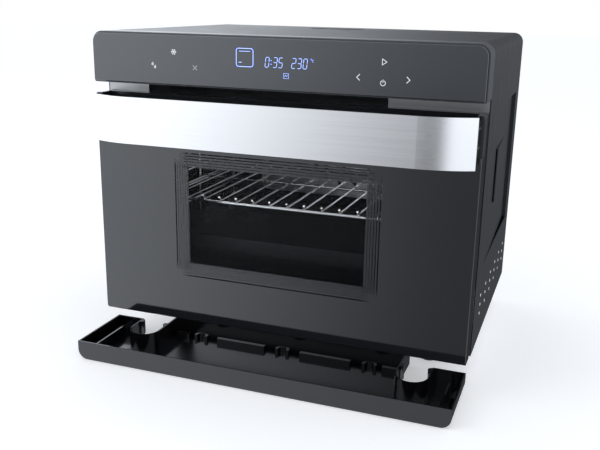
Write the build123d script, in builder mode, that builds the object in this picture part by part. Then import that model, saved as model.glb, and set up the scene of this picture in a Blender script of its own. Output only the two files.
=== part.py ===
"""Countertop combi steam oven: casing, cavity, drop-down door, steam and fan units, pull-out condensate tray.

Frame: X to the right, Y to the rear, Z up. The origin is the centre of the footprint, on the surface that the
feet stand on. The door is shut and the condensate tray stands pulled out in front of the feet.
"""
import os
from math import asin, cos, degrees, radians, sin, sqrt

from build123d import *

os.makedirs("parts", exist_ok=True)

# ---- driving dimensions, mm
width = 510.0
half = width / 2
depth = 379.0                 # door front to casing rear
body_height = 384.5           # casing without the feet
foot_height = 46.0
sheet = 1.2                   # casing and frame sheet
front_y = -154.0              # plane of the door and the control housing
frame_y = front_y + 33.0      # front of the stainless frame, behind the door
rear_y = front_y + depth
base_z = foot_height
top_z = base_z + body_height
edge_radius = 14.0            # rounded upper edges of the casing

housing_z = base_z + 319.2    # lower edge of the control housing
door_depth = 30.0
door_half = half - 1.5
door_top = base_z + 305.5
glass_top = base_z + 258.0    # where the door glass ends and the black cap begins
hinge_y = front_y + 15.0
hinge_z = base_z + 12.0
hinge_pin_r = 3.0
running_gap = 0.05

cavity_half = 200.0
cavity_low = base_z + 60.0
cavity_high = base_z + 283.0
cavity_rear = 183.0
cavity_mid = (cavity_low + cavity_high) / 2
liner = 1.0
corner = 20.0                 # pressed corners of the cavity
insulation = 17.0
fan_z = cavity_low + 136.0
guard_y = 155.0               # front face of the pressed fan cover
guard_width, guard_height, guard_z = 306.0, 152.0, 234.0
guard_sheet, guard_taper = 1.2, 16.0

level_pitch = 24.25           # from one shelf level to the next
first_level = cavity_low + 46.7
wire_r = 2.0
rail_x = cavity_half - 6.4
shelf_gap = 0.3               # shelf to rail

foot_x = 190.0
front_foot_y = front_y + 109.0
rear_foot_y = 176.0
foot_r = 13.5
tray_out = 75.0               # how far the tray stands pulled out
tray_low = 0.8
tray_height = 25.0


def at_y(y):
    """Plane seen from the front, X right and Z up; an extrusion runs towards the front."""
    return Plane.XZ.offset(-y)


def save(piece, name):
    piece.part.label = name
    export_step(piece.part, f"parts/{name}.step")


def screw_group(places, axis_plane, head_r, head_h, shank_r, shank_l):
    """Pan-head screws: the head stands on the plane, the shank runs against the plane's normal."""
    with BuildPart() as screws:
        for place in places:
            with BuildSketch(axis_plane(place)):
                Circle(head_r)
            extrude(amount=head_h)
            with BuildSketch(axis_plane(place)):
                Circle(shank_r)
            extrude(amount=-shank_l)
    return screws


# ---- casing: one sheet folded over both sides and the top
wrap_front = frame_y
wrap_rear = rear_y - sheet
ramp_front, ramp_rear, ramp_depth = front_y + 80, front_y + 340, 5.0
ramp_low, ramp_high = base_z + 105, base_z + 300
louvre_front, louvre_rear, louvre_rise = front_y + 142, front_y + 262, 2.4
louvre_low, louvre_high = base_z + 174, base_z + 246
well_x0, well_x1, well_y0, well_y1 = -226.0, 186.0, 136.0, 210.0


def ramp_x(y, inset=0.0):
    """Distance of the side sheet from the middle along the sunken ramp."""
    return half - inset - ramp_depth * (y - ramp_front) / (ramp_rear - ramp_front)


def side_ramp(side, inset):
    """The wedge that the side pressing takes away."""
    with BuildPart() as wedge:
        with BuildSketch(Plane.XY.offset(ramp_low)):
            with BuildLine():
                Polyline(
                    (side * (half - inset), ramp_front),
                    (side * ramp_x(ramp_rear, inset), ramp_rear + inset),
                    (side * (half + 1), ramp_rear + inset),
                    (side * (half + 1), ramp_front),
                    close=True,
                )
            make_face()
        extrude(amount=ramp_high - ramp_low)
    return wedge.part


def casing_block(inset):
    """The casing's outer form, or with an inset the space inside its sheet."""
    with BuildPart() as block:
        with BuildSketch(at_y(wrap_rear)):
            with Locations((0, base_z + (body_height - inset) / 2)):
                Rectangle(width - 2 * inset, body_height - inset)
            fillet(vertices().group_by(Axis.Y)[-1], edge_radius - inset)
        extrude(amount=wrap_rear - wrap_front)
        for side in (-1, 1):
            add(side_ramp(side, inset), mode=Mode.SUBTRACT)
    return block.part


vent_pitch_y, vent_pitch_z, vent_y, vent_z = 49.6, 12.5, 60.0, base_z + 49.5
with BuildPart() as casing_wrap:
    add(casing_block(0))
    add(casing_block(sheet), mode=Mode.SUBTRACT)
    for side in (-1, 1):
        with BuildSketch(Plane.XY.offset(louvre_low)):
            with BuildLine():
                Polyline(
                    (side * (ramp_x(louvre_front) + louvre_rise), louvre_front),
                    (side * (ramp_x(louvre_rear) - 0.1), louvre_rear),
                    (side * (ramp_x(louvre_rear) - sheet), louvre_rear),
                    (side * (ramp_x(louvre_front) + louvre_rise - sheet), louvre_front),
                    close=True,
                )
            make_face()
        extrude(amount=louvre_high - louvre_low)
        for flank_z in (louvre_low, louvre_high - sheet):
            with BuildSketch(Plane.XY.offset(flank_z)):
                with BuildLine():
                    Polyline(
                        (side * (ramp_x(louvre_front) + louvre_rise), louvre_front),
                        (side * (ramp_x(louvre_rear) - 0.1), louvre_rear),
                        (side * (ramp_x(louvre_front) - 0.1), louvre_front),
                        close=True,
                    )
                make_face()
            extrude(amount=sheet)
        with BuildSketch(Plane.XY.offset(louvre_low + sheet)):
            with BuildLine():
                Polyline(
                    (side * (ramp_x(louvre_front) + louvre_rise - sheet), louvre_front - 0.1),
                    (side * (ramp_x(louvre_rear) - sheet), louvre_rear),
                    (side * (ramp_x(louvre_front) - sheet - 1), louvre_front - 0.1),
                    close=True,
                )
            make_face()
        extrude(amount=louvre_high - louvre_low - 2 * sheet, mode=Mode.SUBTRACT)
    with BuildSketch(Plane.YZ.offset(-half - 1)):
        with Locations((vent_y, vent_z)):
            with GridLocations(vent_pitch_y, vent_pitch_z, 6, 3):
                Circle(2.0)
    extrude(amount=width + 2, mode=Mode.SUBTRACT)
    with BuildSketch(Plane.XY.offset(top_z + 1)):
        with Locations(((well_x0 + well_x1) / 2, (well_y0 + well_y1) / 2)):
            RectangleRounded(well_x1 - well_x0, well_y1 - well_y0, 9)
    extrude(amount=-10, mode=Mode.SUBTRACT)
save(casing_wrap, "casing_wrap")

# light lining behind the side vents
with BuildPart() as vent_lining:
    for side in (-1, 1):
        with Locations((side * (half - 5.5), vent_y, vent_z)):
            Box(1.0, 280, 44)
save(vent_lining, "vent_lining")

# ---- rear panel with air slots, a cord opening and its screws
gland_x, gland_z = -205.0, base_z + 32
rear_screw_places = [(x, base_z + z) for x in (-240, 240) for z in (20, 190, 360)]
rear_screw_places += [(x, base_z + 372) for x in (-90, 90)]
with BuildPart() as rear_panel:
    with BuildSketch(at_y(rear_y)):
        with Locations((0, base_z + body_height / 2)):
            Rectangle(width, body_height)
        fillet(vertices().group_by(Axis.Y)[-1], edge_radius)
        with Locations((0, base_z + 335), (0, base_z + 60)):
            with GridLocations(13, 0, 22, 1):
                SlotOverall(34, 4, rotation=90, mode=Mode.SUBTRACT)
        with Locations((gland_x, gland_z)):
            Circle(8, mode=Mode.SUBTRACT)
        with Locations(*rear_screw_places):
            Circle(1.8, mode=Mode.SUBTRACT)
    extrude(amount=sheet)
    with BuildSketch(at_y(rear_y + 1.5)):
        with Locations((0, fan_z)):
            RectangleRounded(150, 130, 14)
            RectangleRounded(138, 118, 10, mode=Mode.SUBTRACT)
    extrude(amount=1.5)
save(rear_panel, "rear_panel")

rear_screws = screw_group(rear_screw_places, lambda p: Plane((p[0], rear_y, p[1]), z_dir=(0, 1, 0)),
                          3.6, 2.0, 1.8, 8.0)
save(rear_screws, "rear_screws")

# two stops that keep the rear off a wall
with BuildPart() as wall_stops:
    for x in (-170, 170):
        with Locations((x, rear_y + 2, base_z + 270)):
            Box(34, 4, 14)
    fillet(wall_stops.edges().filter_by(Axis.Y), 3)
save(wall_stops, "wall_stops")

# cord gland with its blind inlet, and the terminal block behind it
with BuildPart() as cord_gland:
    with BuildSketch(at_y(rear_y + 3.5)):
        with Locations((gland_x, gland_z)):
            Circle(12)
    extrude(amount=3.5)
    with BuildSketch(at_y(rear_y)):
        with Locations((gland_x, gland_z)):
            Circle(8)
    extrude(amount=6)
    fillet(cord_gland.edges().group_by(Axis.Y)[-1], 1.2)
    with BuildSketch(at_y(rear_y + 3.5)):
        with Locations((gland_x, gland_z)):
            Circle(4)
    extrude(amount=9.5, mode=Mode.SUBTRACT)
save(cord_gland, "cord_gland")

with BuildPart() as terminal_block:
    with Locations((gland_x, rear_y - 38, gland_z)):
        Box(36, 14, 18)
        with GridLocations(11, 0, 3, 1):
            with Locations((0, 0, 9)):
                Hole(2.4, 10)
save(terminal_block, "terminal_block")

# ---- base plate and feet
foot_places = [(x, y) for y in (front_foot_y, rear_foot_y) for x in (-foot_x, foot_x)]
with BuildPart() as base_plate:
    with BuildSketch(Plane.XY.offset(base_z)):
        with Locations((0, (frame_y + sheet + wrap_rear) / 2)):
            Rectangle(width - 2 * sheet - 0.4, wrap_rear - frame_y - sheet)
        with Locations(*foot_places):
            Circle(2.5, mode=Mode.SUBTRACT)
        with Locations((0, 60)):
            with GridLocations(30, 50, 9, 3):
                SlotOverall(22, 4, mode=Mode.SUBTRACT)
    extrude(amount=sheet)
save(base_plate, "base_plate")

pad_height = 4.0
with BuildPart() as feet:
    for place in foot_places:
        with BuildSketch(Plane.XY.offset(pad_height)):
            with Locations(place):
                Circle(foot_r)
        extrude(amount=base_z - pad_height)
    fillet(feet.edges().group_by(Axis.Z)[0], 1.5)
    for place in foot_places:
        with Locations((place[0], place[1], base_z)):
            Hole(2.5, 24)
save(feet, "feet")

with BuildPart() as foot_pads:
    with BuildSketch():
        with Locations(*foot_places):
            Circle(foot_r - 2)
    extrude(amount=pad_height)
    fillet(foot_pads.edges().group_by(Axis.Z)[0], 1)
save(foot_pads, "foot_pads")

foot_screws = screw_group(foot_places, lambda p: Plane.XY.offset(base_z + sheet).shift_origin((p[0], p[1], base_z + sheet)),
                          5.0, 2.5, 2.5, 20.0)
save(foot_screws, "foot_screws")

# ---- stainless front frame round the cavity, with the air outlet above the door
outlet_x0, outlet_x1 = -193.0, 134.0
outlet_low, outlet_high = base_z + 305.2, base_z + 318.0
arm_x, arm_mean_r, arm_width, arm_plate = 236.0, 70.0, 8.0, 3.0
slot_z = hinge_z + sqrt(arm_mean_r ** 2 - (frame_y - hinge_y) ** 2)
switch_x, switch_z = 232.0, base_z + 289.0
with BuildPart() as front_frame:
    with BuildSketch(at_y(frame_y + sheet)):
        with Locations((0, base_z + (body_height - sheet) / 2)):
            Rectangle(width - 2 * sheet - 0.4, body_height - sheet - 0.4)
        fillet(vertices().group_by(Axis.Y)[-1], edge_radius - sheet)
        with Locations((0, cavity_mid)):
            RectangleRounded(2 * cavity_half, cavity_high - cavity_low, corner, mode=Mode.SUBTRACT)
        with Locations(((outlet_x0 + outlet_x1) / 2, (outlet_low + outlet_high) / 2)):
            Rectangle(outlet_x1 - outlet_x0, outlet_high - outlet_low, mode=Mode.SUBTRACT)
        for side in (-1, 1):
            with Locations((side * arm_x, slot_z)):
                Rectangle(arm_plate + 2, arm_width + 5, mode=Mode.SUBTRACT)
        with Locations((0, base_z + 352)):
            Rectangle(260, 30, mode=Mode.SUBTRACT)
        with Locations((switch_x, switch_z)):
            Circle(3.2, mode=Mode.SUBTRACT)
    extrude(amount=sheet)
save(front_frame, "front_frame")

seal_depth = 2.7
with BuildPart() as door_seal:
    with BuildSketch(at_y(frame_y)):
        with Locations((0, cavity_mid)):
            RectangleRounded(2 * cavity_half + 24, cavity_high - cavity_low + 24, corner + 10)
            RectangleRounded(2 * cavity_half + 8, cavity_high - cavity_low + 8, corner + 3, mode=Mode.SUBTRACT)
    extrude(amount=seal_depth)
    fillet(door_seal.edges().group_by(Axis.Y)[0], 1.2)
save(door_seal, "door_seal")

# ---- control housing, its glass and the electronics behind it
housing_wall = 2.5
housing_mid = (housing_z + top_z) / 2
glass_proud, glass_seat, glass_radius = 4.0, 1.0, 12.0
glass_half, glass_low, glass_high = half - 2.4, housing_z + 1.8, top_z - 2.2
display_z = base_z + 354.0
with BuildPart() as control_housing:
    with BuildSketch(at_y(frame_y)):
        with Locations((0, housing_mid)):
            Rectangle(width, top_z - housing_z)
        fillet(vertices().group_by(Axis.Y)[-1], edge_radius)
        fillet(vertices().group_by(Axis.Y)[0], 3)
    extrude(amount=frame_y - front_y)
    fillet(control_housing.edges().group_by(Axis.Y)[0], 0.8)
    with BuildSketch(at_y(frame_y)):
        with Locations((0, housing_mid)):
            Rectangle(width - 2 * housing_wall, top_z - housing_z - 2 * housing_wall)
        fillet(vertices().group_by(Axis.Y)[-1], edge_radius - housing_wall)
        fillet(vertices().group_by(Axis.Y)[0], 2)
    extrude(amount=frame_y - front_y - housing_wall, mode=Mode.SUBTRACT)
    with BuildSketch(at_y(front_y)):
        with Locations((0, (glass_low + glass_high) / 2)):
            Rectangle(2 * glass_half + 1.2, glass_high - glass_low + 1.2)
        fillet(vertices().group_by(Axis.Y)[-1], glass_radius + 0.6)
        fillet(vertices().group_by(Axis.Y)[0], 3)
    extrude(amount=-glass_seat, mode=Mode.SUBTRACT)
    with BuildSketch(at_y(frame_y)):
        with Locations((0, display_z)):
            Rectangle(150, 34)
    extrude(amount=40, mode=Mode.SUBTRACT)
save(control_housing, "control_housing")

with BuildPart() as control_glass:
    with BuildSketch(at_y(front_y + glass_seat)):
        with Locations((0, (glass_low + glass_high) / 2)):
            Rectangle(2 * glass_half, glass_high - glass_low)
        fillet(vertices().group_by(Axis.Y)[-1], glass_radius)
        fillet(vertices().group_by(Axis.Y)[0], 2.4)
    extrude(amount=glass_proud + glass_seat)
    chamfer(control_glass.edges().group_by(Axis.Y)[0], 0.8)
save(control_glass, "control_glass")

with BuildPart() as display_module:
    with BuildSketch(at_y(front_y + 13)):
        with Locations((0, display_z)):
            Rectangle(140, 28)
    extrude(amount=13 - glass_seat)
    chamfer(display_module.edges().group_by(Axis.Y)[-1], 1)
save(display_module, "display_module")

board = 1.6
with BuildPart() as touch_board:
    with BuildSketch(at_y(front_y + housing_wall + board)):
        with Locations((0, display_z)):
            Rectangle(470, 44)
            Rectangle(152, 36, mode=Mode.SUBTRACT)
    extrude(amount=board)
    with BuildSketch(at_y(front_y + housing_wall + board)):
        with Locations((0, display_z)):
            with GridLocations(60, 0, 7, 1):
                with Locations((0, 19.5)):
                    Rectangle(10, 4)
    extrude(amount=-3)
save(touch_board, "touch_board")

# ---- cavity liner with its ports, insulation round it and a shield plate on top
grill_z, grill_leg_x = cavity_high - 13, 40.0
ring_r, ring_gap, ring_leg_angle = 57.0, 24.0, 18.0
ring_legs = [(ring_r * sin(radians(a)), fan_z - ring_r * cos(radians(a))) for a in (-ring_leg_angle, ring_leg_angle)]
rear_ports = [(0, fan_z, 6.0, 10.0)] + [(x, z, 3.7, 5.0) for x, z in ring_legs]
rear_ports += [(x, grill_z, 3.7, 5.0) for x in (-grill_leg_x, grill_leg_x)]
lamp_y, lamp_z = 110.0, cavity_high - 39
nozzle_y, nozzle_z = 60.0, cavity_low + 94
probe_y, probe_z = 140.0, cavity_high - 33
side_ports = [(1, lamp_y, lamp_z, 12.0, 15.0), (1, nozzle_y, nozzle_z, 5.1, 5.6), (-1, probe_y, probe_z, 2.6, 3.4)]
liner_front = frame_y + sheet
with BuildPart() as cavity_liner:
    with BuildSketch(at_y(cavity_rear + liner)):
        with Locations((0, cavity_mid)):
            RectangleRounded(2 * (cavity_half + liner), cavity_high - cavity_low + 2 * liner, corner + liner)
    extrude(amount=cavity_rear + liner - liner_front)
    with BuildSketch(at_y(cavity_rear)):
        with Locations((0, cavity_mid)):
            RectangleRounded(2 * cavity_half, cavity_high - cavity_low, corner)
    extrude(amount=cavity_rear - liner_front, mode=Mode.SUBTRACT)
    for x, z, port_r, _ in rear_ports:
        with BuildSketch(at_y(cavity_rear + 5)):
            with Locations((x, z)):
                Circle(port_r)
        extrude(amount=10, mode=Mode.SUBTRACT)
    for side, y, z, port_r, _ in side_ports:
        with BuildSketch(Plane.YZ.offset(side * cavity_half)):
            with Locations((y, z)):
                Circle(port_r)
        extrude(amount=5, both=True, mode=Mode.SUBTRACT)
save(cavity_liner, "cavity_liner")

wool_half = cavity_half + liner + insulation
wool_rear = cavity_rear + liner + 16
wool_low, wool_high = cavity_low - liner - insulation, cavity_high + liner + insulation
with BuildPart() as insulation_blanket:
    with BuildSketch(at_y(wool_rear)):
        with Locations((0, cavity_mid)):
            RectangleRounded(2 * wool_half, wool_high - wool_low, corner + 10)
    extrude(amount=wool_rear - liner_front - 0.5)
    with BuildSketch(at_y(cavity_rear + liner)):
        with Locations((0, cavity_mid)):
            RectangleRounded(2 * (cavity_half + liner), cavity_high - cavity_low + 2 * liner, corner + liner)
    extrude(amount=cavity_rear + liner - liner_front, mode=Mode.SUBTRACT)
    for x, z, _, wool_r in rear_ports:
        with BuildSketch(at_y(wool_rear + 1)):
            with Locations((x, z)):
                Circle(wool_r)
        extrude(amount=20, mode=Mode.SUBTRACT)
    for side, y, z, _, wool_r in side_ports:
        with BuildSketch(Plane.YZ.offset(side * (cavity_half + 10))):
            with Locations((y, z)):
                Circle(wool_r)
        extrude(amount=12, both=True, mode=Mode.SUBTRACT)
save(insulation_blanket, "insulation_blanket")

shield_z = wool_high + 0.2
with BuildPart() as shield_plate:
    with BuildSketch(Plane.XY.offset(shield_z)):
        with Locations((0, (liner_front + 1 + 133) / 2)):
            Rectangle(2 * (wool_half + 2), 132 - liner_front)
    extrude(amount=1)
save(shield_plate, "shield_plate")

# ---- shelf rails: a welded wire ladder on each side wall
rail_front, rail_rear = liner_front + 14, 162.0
ladder_x = rail_x + 2 * wire_r - 0.2
with BuildPart() as shelf_rails:
    for side in (-1, 1):
        for level in range(5):
            with BuildSketch(at_y(rail_rear)):
                with Locations((side * rail_x, first_level + level * level_pitch)):
                    Circle(wire_r)
            extrude(amount=rail_rear - rail_front)
        for y in (rail_front + 8, 30, rail_rear - 8):
            with BuildSketch(Plane.XY.offset(first_level - 12)):
                with Locations((side * ladder_x, y)):
                    Circle(wire_r)
            extrude(amount=4 * level_pitch + 24)
            for z in (first_level - 8, first_level + 4 * level_pitch + 8):
                with BuildSketch(Plane.YZ.offset(side * cavity_half)):
                    with Locations((y, z)):
                        Circle(3)
                extrude(amount=-side * 2.5)
save(shelf_rails, "shelf_rails")

# ---- wire rack: a round-wire frame with straight bars whose tips turn up at the front
rack_half, rack_front, rack_rear = rail_x - 1.0, front_y + 50, 146.0
rack_z = first_level + 2 * level_pitch + 2 * wire_r + shelf_gap
bar_pitch, bar_count, bar_r, tip_rise = 24.4, 15, 1.3, 7.0
with BuildPart() as wire_rack:
    for y in (rack_front, rack_front + 145, rack_rear):
        with BuildSketch(Plane.YZ.offset(-rack_half)):
            with Locations((y, rack_z)):
                Circle(wire_r)
        extrude(amount=2 * rack_half)
    for x in (-rack_half, rack_half):
        with BuildSketch(at_y(rack_rear)):
            with Locations((x, rack_z)):
                Circle(wire_r)
        extrude(amount=rack_rear - rack_front)
        with Locations((x, rack_front, rack_z), (x, rack_rear, rack_z)):
            Sphere(wire_r)
    bar_z = rack_z + wire_r + bar_r - 0.9
    for index in range(bar_count):
        x = (index - (bar_count - 1) / 2) * bar_pitch
        with BuildSketch(at_y(rack_rear + 1)):
            with Locations((x, bar_z)):
                Circle(bar_r)
        extrude(amount=rack_rear + 1 - rack_front)
        with BuildSketch(Plane((x, rack_front, bar_z), x_dir=(1, 0, 0), z_dir=(0, -0.6, 0.8))):
            Circle(bar_r)
        extrude(amount=tip_rise)
        with Locations((x, rack_front, bar_z)):
            Sphere(bar_r)
save(wire_rack, "wire_rack")

# ---- baking tray: a shallow pan with a flat rim that rides on the lowest rail, and a ribbed floor
pan_z = first_level + wire_r + shelf_gap
pan_half, pan_depth, pan_front, pan_rear = rail_x - 10, 22.0, front_y + 50, 122.0
pan_wall, rim_width = 1.0, 9.0
pan_mid_y = (pan_front + pan_rear) / 2
with BuildPart() as baking_tray:
    with BuildSketch(Plane.XY.offset(pan_z)):
        with Locations((0, pan_mid_y)):
            RectangleRounded(2 * (pan_half + rim_width), pan_rear - pan_front, 14)
    extrude(amount=pan_wall)
    with BuildSketch(Plane.XY.offset(pan_z - pan_depth)):
        with Locations((0, pan_mid_y)):
            RectangleRounded(2 * pan_half, pan_rear - pan_front - 2 * rim_width, 12)
    extrude(amount=pan_depth)
    with BuildSketch(Plane.XY.offset(pan_z - pan_depth + pan_wall)):
        with Locations((0, pan_mid_y)):
            RectangleRounded(2 * (pan_half - pan_wall), pan_rear - pan_front - 2 * rim_width - 2 * pan_wall, 11)
    extrude(amount=pan_depth, mode=Mode.SUBTRACT)
    with Locations((0, pan_mid_y, pan_z - pan_depth + pan_wall)):
        with GridLocations(12.2, 0, 27, 1):
            Box(2.4, pan_rear - pan_front - 50, 1.2, align=(Align.CENTER, Align.CENTER, Align.MIN))
save(baking_tray, "baking_tray")

# ---- convection unit on the rear wall
with BuildPart() as fan_guard:
    with BuildSketch(at_y(cavity_rear)):
        with Locations((0, guard_z)):
            RectangleRounded(guard_width, guard_height, 18)
    extrude(amount=cavity_rear - guard_y, taper=guard_taper)
    with BuildSketch(at_y(cavity_rear)):
        with Locations((0, guard_z)):
            RectangleRounded(guard_width - 2.5, guard_height - 2.5, 17)
    extrude(amount=cavity_rear - guard_y - guard_sheet, taper=guard_taper, mode=Mode.SUBTRACT)
    with BuildSketch(at_y(guard_y + 5)):
        with Locations((0, fan_z)):
            with PolarLocations(50, 14):
                SlotOverall(26, 5.6, rotation=35)
            with PolarLocations(24, 8):
                SlotOverall(17, 5.6, rotation=-35)
            Circle(4)
    extrude(amount=10, mode=Mode.SUBTRACT)
    for side in (-1, 1):
        for step in range(-3, 4):
            with Locations((side * guard_width / 2, guard_y + 17, guard_z + step * 16)):
                Box(30, 9, 9, mode=Mode.SUBTRACT)
save(fan_guard, "fan_guard")

wheel_r, wheel_front, wheel_rear = 50.0, guard_y + 7, 177.0
shaft_r = 3.0
with BuildPart() as convection_fan:
    with BuildSketch(at_y(wheel_rear)):
        with Locations((0, fan_z)):
            Circle(wheel_r)
    extrude(amount=1.2)
    with BuildSketch(at_y(wheel_rear)):
        with Locations((0, fan_z)):
            Circle(9)
    extrude(amount=wheel_rear - wheel_front)
    with Locations(Plane((0, (wheel_front + wheel_rear) / 2, fan_z), z_dir=(0, -1, 0))):
        with PolarLocations(wheel_r - 10, 14):
            Box(20, 1.2, wheel_rear - wheel_front)
    with BuildSketch(at_y(wool_rear + 12)):
        with Locations((0, fan_z)):
            Circle(shaft_r)
    extrude(amount=wool_rear + 12 - wheel_front)
save(convection_fan, "convection_fan")

with BuildPart() as fan_motor:
    with BuildSketch(at_y(wool_rear + 1.5)):
        with Locations((0, fan_z)):
            RectangleRounded(110, 84, 8)
    extrude(amount=1.5)
    with BuildSketch(at_y(rear_y - 3.5)):
        with Locations((0, fan_z)):
            Circle(34)
    extrude(amount=rear_y - 3.5 - wool_rear)
    with BuildSketch(at_y(wool_rear + 16)):
        with Locations((0, fan_z)):
            Circle(shaft_r + running_gap)
    extrude(amount=16, mode=Mode.SUBTRACT)
save(fan_motor, "fan_motor")

heater_r = 3.2
ring_y, leg_end = 170.0, wool_rear + 6
start = radians(-ring_gap / 2)
ring_plane = Plane(
    (0, ring_y, fan_z),
    x_dir=(sin(start), 0, -cos(start)),
    z_dir=(cos(start), 0, sin(start)),
)
with BuildPart() as ring_heater:
    with BuildSketch(ring_plane):
        with Locations((ring_r, 0)):
            Circle(heater_r)
    revolve(axis=Axis((0, ring_y, fan_z), (0, 1, 0)), revolution_arc=360 - ring_gap)
    for x, z in ring_legs:
        with BuildSketch(at_y(leg_end)):
            with Locations((x, z)):
                Circle(heater_r - 0.4)
        extrude(amount=leg_end - ring_y)
save(ring_heater, "ring_heater")

with BuildPart() as grill_heater:
    with BuildLine():
        grill = FilletPolyline(
            (-grill_leg_x, leg_end, grill_z), (-grill_leg_x, 140, grill_z), (-150, 140, grill_z),
            (-150, -80, grill_z), (-60, -80, grill_z), (-60, 70, grill_z), (60, 70, grill_z),
            (60, -80, grill_z), (150, -80, grill_z), (150, 140, grill_z), (grill_leg_x, 140, grill_z),
            (grill_leg_x, leg_end, grill_z),
            radius=18,
        )
    with BuildSketch(Plane(grill @ 0, z_dir=grill % 0)):
        Circle(heater_r)
    sweep(path=grill)
save(grill_heater, "grill_heater")

# ---- cavity lamp and its lens, temperature probe, thermal cut-out
with BuildPart() as lamp_lens:
    with BuildSketch(Plane.YZ.offset(cavity_half)):
        with Locations((lamp_y, lamp_z)):
            Circle(17)
    extrude(amount=-4)
    fillet(lamp_lens.edges().group_by(Axis.X)[0], 2)
    with BuildSketch(Plane.YZ.offset(cavity_half)):
        with Locations((lamp_y, lamp_z)):
            Circle(11.9)
    extrude(amount=liner)
save(lamp_lens, "lamp_lens")

with BuildPart() as cavity_lamp:
    with BuildSketch(Plane.YZ.offset(cavity_half + liner)):
        with Locations((lamp_y, lamp_z)):
            Circle(14)
    extrude(amount=22)
    chamfer(cavity_lamp.edges().group_by(Axis.X)[-1], 1.5)
save(cavity_lamp, "cavity_lamp")

with BuildPart() as temperature_probe:
    with BuildSketch(Plane.YZ.offset(-cavity_half - 24)):
        with Locations((probe_y, probe_z)):
            Circle(2.5)
    extrude(amount=70)
    fillet(temperature_probe.edges().group_by(Axis.X)[-1], 2)
    with BuildSketch(Plane.YZ.offset(-cavity_half)):
        with Locations((probe_y, probe_z)):
            Circle(6)
    extrude(amount=3)
save(temperature_probe, "temperature_probe")

with BuildPart() as thermal_cutout:
    with BuildSketch(Plane.XY.offset(shield_z + 1)):
        with Locations((60, 70)):
            Circle(8)
            Rectangle(34, 8)
    extrude(amount=1.5)
    with BuildSketch(Plane.XY.offset(shield_z + 2.5)):
        with Locations((60, 70)):
            Circle(8)
    extrude(amount=8)
save(thermal_cutout, "thermal_cutout")

# ---- steam generator beside the cavity, with its nozzle through the side wall
boiler_x0, boiler_x1 = cavity_half + 21, cavity_half + 45
boiler_low, boiler_high = cavity_low + 24, cavity_low + 116
with BuildPart() as steam_generator:
    with Locations(((boiler_x0 + boiler_x1) / 2, nozzle_y, (boiler_low + boiler_high) / 2)):
        Box(boiler_x1 - boiler_x0, 100, boiler_high - boiler_low)
    fillet(steam_generator.edges().filter_by(Axis.X), 10)
    with BuildSketch(Plane.YZ.offset(boiler_x0)):
        with Locations((nozzle_y, nozzle_z)):
            Circle(5)
    extrude(amount=cavity_half - 1 - boiler_x0)
    with BuildSketch(Plane.XY.offset(boiler_high)):
        with Locations(((boiler_x0 + boiler_x1) / 2, nozzle_y)):
            Circle(2.4)
    extrude(amount=12)
save(steam_generator, "steam_generator")

# ---- water tank that lifts out of a well in the top, with a pull-off lid
tank_gap, well_wall, tank_wall = 4.0, 1.5, 2.0
well_low = shield_z + 1.4
well_mid = ((well_x0 + well_x1) / 2, (well_y0 + well_y1) / 2)
well_w, well_d = well_x1 - well_x0, well_y1 - well_y0
outlet_y, outlet_z = 174.0, well_low + 14
tank_low, lid_low = well_low + well_wall + 1.5, top_z - 6.0
with BuildPart() as tank_well:
    with BuildSketch(Plane.XY.offset(well_low)):
        with Locations(well_mid):
            RectangleRounded(well_w + 2 * well_wall, well_d + 2 * well_wall, 9 + well_wall)
    extrude(amount=top_z - sheet - well_low)
    with BuildSketch(Plane.XY.offset(well_low + well_wall)):
        with Locations(well_mid):
            RectangleRounded(well_w, well_d, 9)
    extrude(amount=body_height, mode=Mode.SUBTRACT)
    with BuildSketch(Plane.YZ.offset(well_x1 + well_wall)):
        with Locations((outlet_y, outlet_z)):
            Circle(3)
    extrude(amount=8)
save(tank_well, "tank_well")

with BuildPart() as water_tank:
    with BuildSketch(Plane.XY.offset(tank_low)):
        with Locations(well_mid):
            RectangleRounded(well_w - 2 * tank_gap, well_d - 2 * tank_gap, 8)
    extrude(amount=lid_low - 0.4 - tank_low)
    fillet(water_tank.edges().group_by(Axis.Z)[0], 3)
    with BuildSketch(Plane.XY.offset(tank_low + tank_wall)):
        with Locations(well_mid):
            RectangleRounded(well_w - 2 * tank_gap - 2 * tank_wall, well_d - 2 * tank_gap - 2 * tank_wall, 6)
    extrude(amount=body_height, mode=Mode.SUBTRACT)
save(water_tank, "water_tank")

lid_gap = 0.5
with BuildPart() as tank_lid:
    with BuildSketch(Plane.XY.offset(lid_low)):
        with Locations(well_mid):
            RectangleRounded(well_w - 2 * lid_gap, well_d - 2 * lid_gap, 8.5)
    extrude(amount=top_z - lid_low)
    fillet(tank_lid.edges().group_by(Axis.Z)[-1], 1)
    with BuildSketch(Plane.XY.offset(top_z)):
        with Locations((well_mid[0], well_mid[1] - 18)):
            SlotOverall(90, 22)
    extrude(amount=-4, mode=Mode.SUBTRACT)
save(tank_lid, "tank_lid")

# ---- pump and hoses
pump_x, pump_z, pump_r = 222.0, outlet_z, 14.0
pump_front, pump_rear = 145.0, 205.0
with BuildPart() as water_pump:
    with BuildSketch(at_y(pump_rear)):
        with Locations((pump_x, pump_z)):
            Circle(pump_r)
    extrude(amount=pump_rear - pump_front)
    fillet(water_pump.edges().filter_by(GeomType.CIRCLE), 2)
    with BuildSketch(Plane.YZ.offset(pump_x - pump_r + 2)):
        with Locations((outlet_y, outlet_z)):
            Circle(3)
    extrude(amount=-8)
    with BuildSketch(at_y(pump_front + 1)):
        with Locations((pump_x, pump_z)):
            Circle(2.4)
    extrude(amount=11)
save(water_pump, "water_pump")

with BuildPart() as feed_hose:
    with BuildSketch(Plane.YZ.offset(well_x1 + well_wall + 1)):
        with Locations((outlet_y, outlet_z)):
            Circle(5)
            Circle(3, mode=Mode.SUBTRACT)
    extrude(amount=pump_x - pump_r - well_x1 - well_wall - 2)
save(feed_hose, "feed_hose")

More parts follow.
